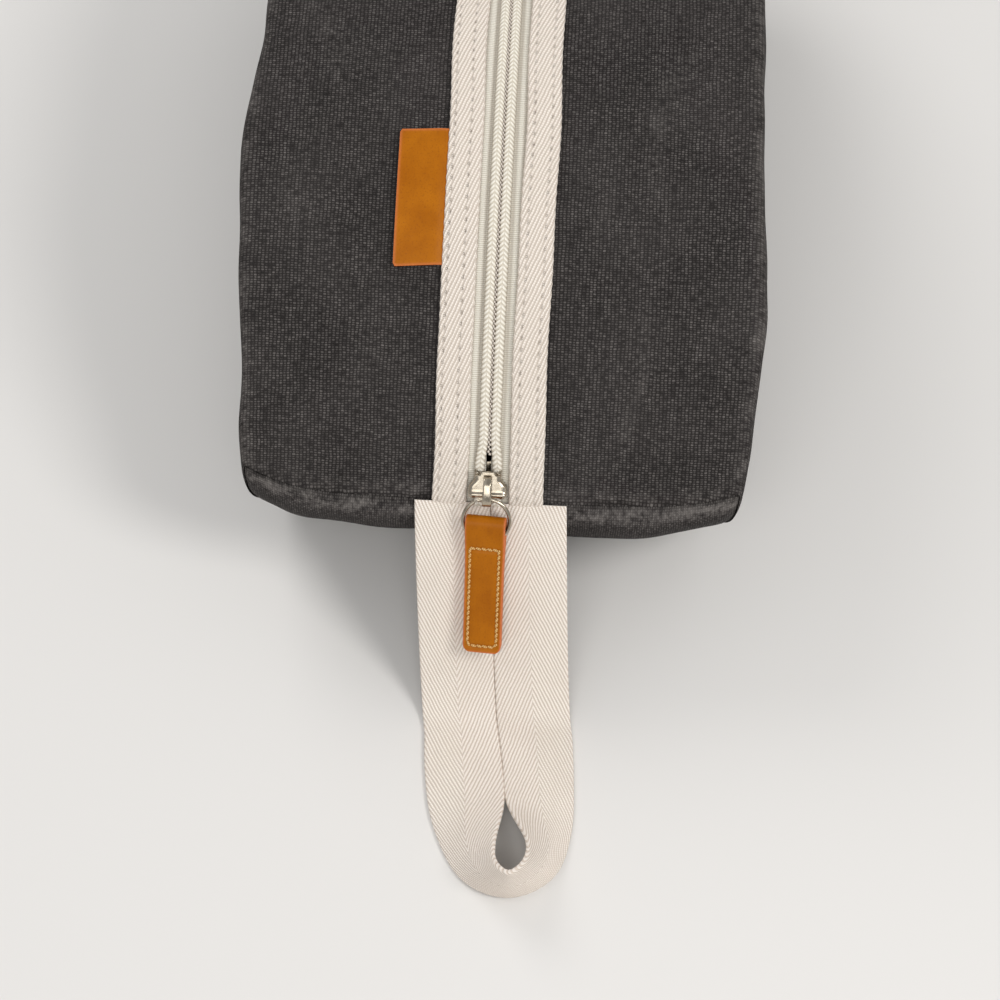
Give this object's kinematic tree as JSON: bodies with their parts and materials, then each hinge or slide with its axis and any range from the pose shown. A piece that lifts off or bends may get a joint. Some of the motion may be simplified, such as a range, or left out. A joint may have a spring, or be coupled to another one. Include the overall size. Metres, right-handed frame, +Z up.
{
  "type": "shaving kit bag",
  "caption": "Boxy waxed-canvas wash bag with a zip over its top, leather zip pull and label, and a flat webbing carry loop at one end.",
  "frame": {"origin": "on the table at the middle of the base panel", "axes": "+Z up; the zip runs along Y, with the carry loop at -Y; +X to the right seen from the loop end"},
  "size_m": [0.1358, 0.3362, 0.1059],
  "materials": {
    "canvas": "charcoal waxed cotton canvas, matt with pale rubbed creases",
    "lining": "plain cotton lining, matt",
    "trim": "natural cotton herringbone tape, matt",
    "zip_tape": "ribbed polyester zip tape, matt",
    "zip_coil": "nylon coil, satin",
    "webbing": "natural cotton herringbone webbing, matt",
    "leather": "vegetable-tanned tan leather, burnished edges",
    "nickel": "satin nickel plate"
  },
  "bodies": {
    "bag_body": {"base_panel": "canvas", "base_lining": "lining", "end_panel_front": "canvas", "end_lining_front": "lining", "end_panel_rear": "canvas", "end_lining_rear": "lining", "side_panel_front_left": "canvas", "side_lining_front_left": "lining", "top_panel_front_left": "canvas", "top_lining_front_left": "lining", "trim_front_left": "trim", "zip_tape_front_left": "zip_tape", "zip_coil_front_left": "zip_coil", "side_panel_front_right": "canvas", "side_lining_front_right": "lining", "top_panel_front_right": "canvas", "top_lining_front_right": "lining", "trim_front_right": "trim", "zip_tape_front_right": "zip_tape", "zip_coil_front_right": "zip_coil", "side_panel_rear_left": "canvas", "side_lining_rear_left": "lining", "top_panel_rear_left": "canvas", "top_lining_rear_left": "lining", "trim_rear_left": "trim", "zip_tape_rear_left": "zip_tape", "zip_coil_rear_left": "zip_coil", "side_panel_rear_right": "canvas", "side_lining_rear_right": "lining", "top_panel_rear_right": "canvas", "top_lining_rear_right": "lining", "trim_rear_right": "trim", "zip_tape_rear_right": "zip_tape", "zip_coil_rear_right": "zip_coil", "loop_hanging_run_left": "webbing", "loop_hanging_run_right": "webbing"},
    "left_half": {"side_panel_middle_left": "canvas", "side_lining_middle_left": "lining", "top_panel_middle_left": "canvas", "top_lining_middle_left": "lining", "trim_middle_left": "trim", "zip_tape_middle_left": "zip_tape", "zip_coil_middle_left": "zip_coil", "side_label": "leather"},
    "right_half": {"side_panel_middle_right": "canvas", "side_lining_middle_right": "lining", "top_panel_middle_right": "canvas", "top_lining_middle_right": "lining", "trim_middle_right": "trim", "zip_tape_middle_right": "zip_tape", "zip_coil_middle_right": "zip_coil"},
    "slider": {"slider_body": "nickel", "slider_bridge": "nickel"},
    "zip_pull": {"pull_ring": "nickel", "pull_tab": "leather"},
    "loop_end": {"loop_turn": "webbing"}
  },
  "joints": [
    {"name": "left_half_spread", "type": "hinge", "parent": "bag_body", "child": "left_half", "pos_m": [-0.06, 0, 0], "axis": [0, -1, 0], "range_deg": [0, 16]},
    {"name": "right_half_spread", "type": "hinge", "parent": "bag_body", "child": "right_half", "pos_m": [0.06, 0, 0], "axis": [0, 1, 0], "range_deg": [0, 16]},
    {"name": "slider_run", "type": "hinge", "parent": "bag_body", "child": "slider", "pos_m": [0, 0, -0.056], "axis": [-1, 0, 0], "range_deg": [0, 92]},
    {"name": "pull_swing", "type": "hinge", "parent": "slider", "child": "zip_pull", "pos_m": [0, -0.12186, 0.05518], "axis": [-1, 0, 0], "range_deg": [0, 135]},
    {"name": "loop_lift", "type": "hinge", "parent": "bag_body", "child": "loop_end", "pos_m": [0.006, -0.16215, 0.0016], "axis": [-1, 0, 0], "range_deg": [0, 60]}
  ]
}
